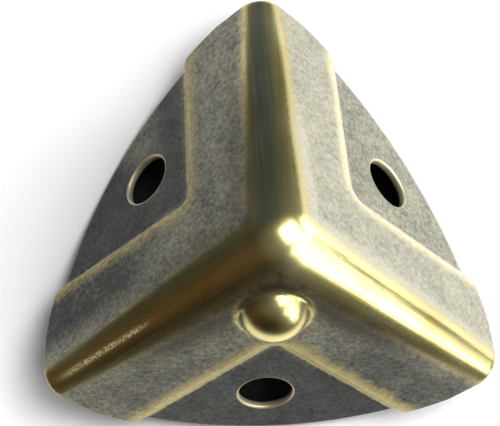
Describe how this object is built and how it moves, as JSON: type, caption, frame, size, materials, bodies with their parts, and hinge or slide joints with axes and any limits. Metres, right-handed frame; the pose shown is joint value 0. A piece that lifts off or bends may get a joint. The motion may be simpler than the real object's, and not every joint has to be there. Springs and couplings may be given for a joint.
{
  "type": "box corner bracket",
  "caption": "Pressed metal corner bracket with rounded ridges, set-down screw flanges and a domed bump, for covering the corner of a box.",
  "frame": {"origin": "corner point of the box that the bracket covers, where the backs of the three flanges meet", "axes": "+Z out along the box's diagonal, towards the bracket's rounded apex; +Y below the single arm opposite the flange with the bump; lengths in metres"},
  "size_m": [0.0432, 0.0415, 0.0231],
  "materials": {
    "antique_brass": "dark antique patina, rubbed bright on the ridges, the bump and the bends"
  },
  "bodies": {
    "root": {"corner_bracket": "antique_brass"}
  },
  "joints": []
}
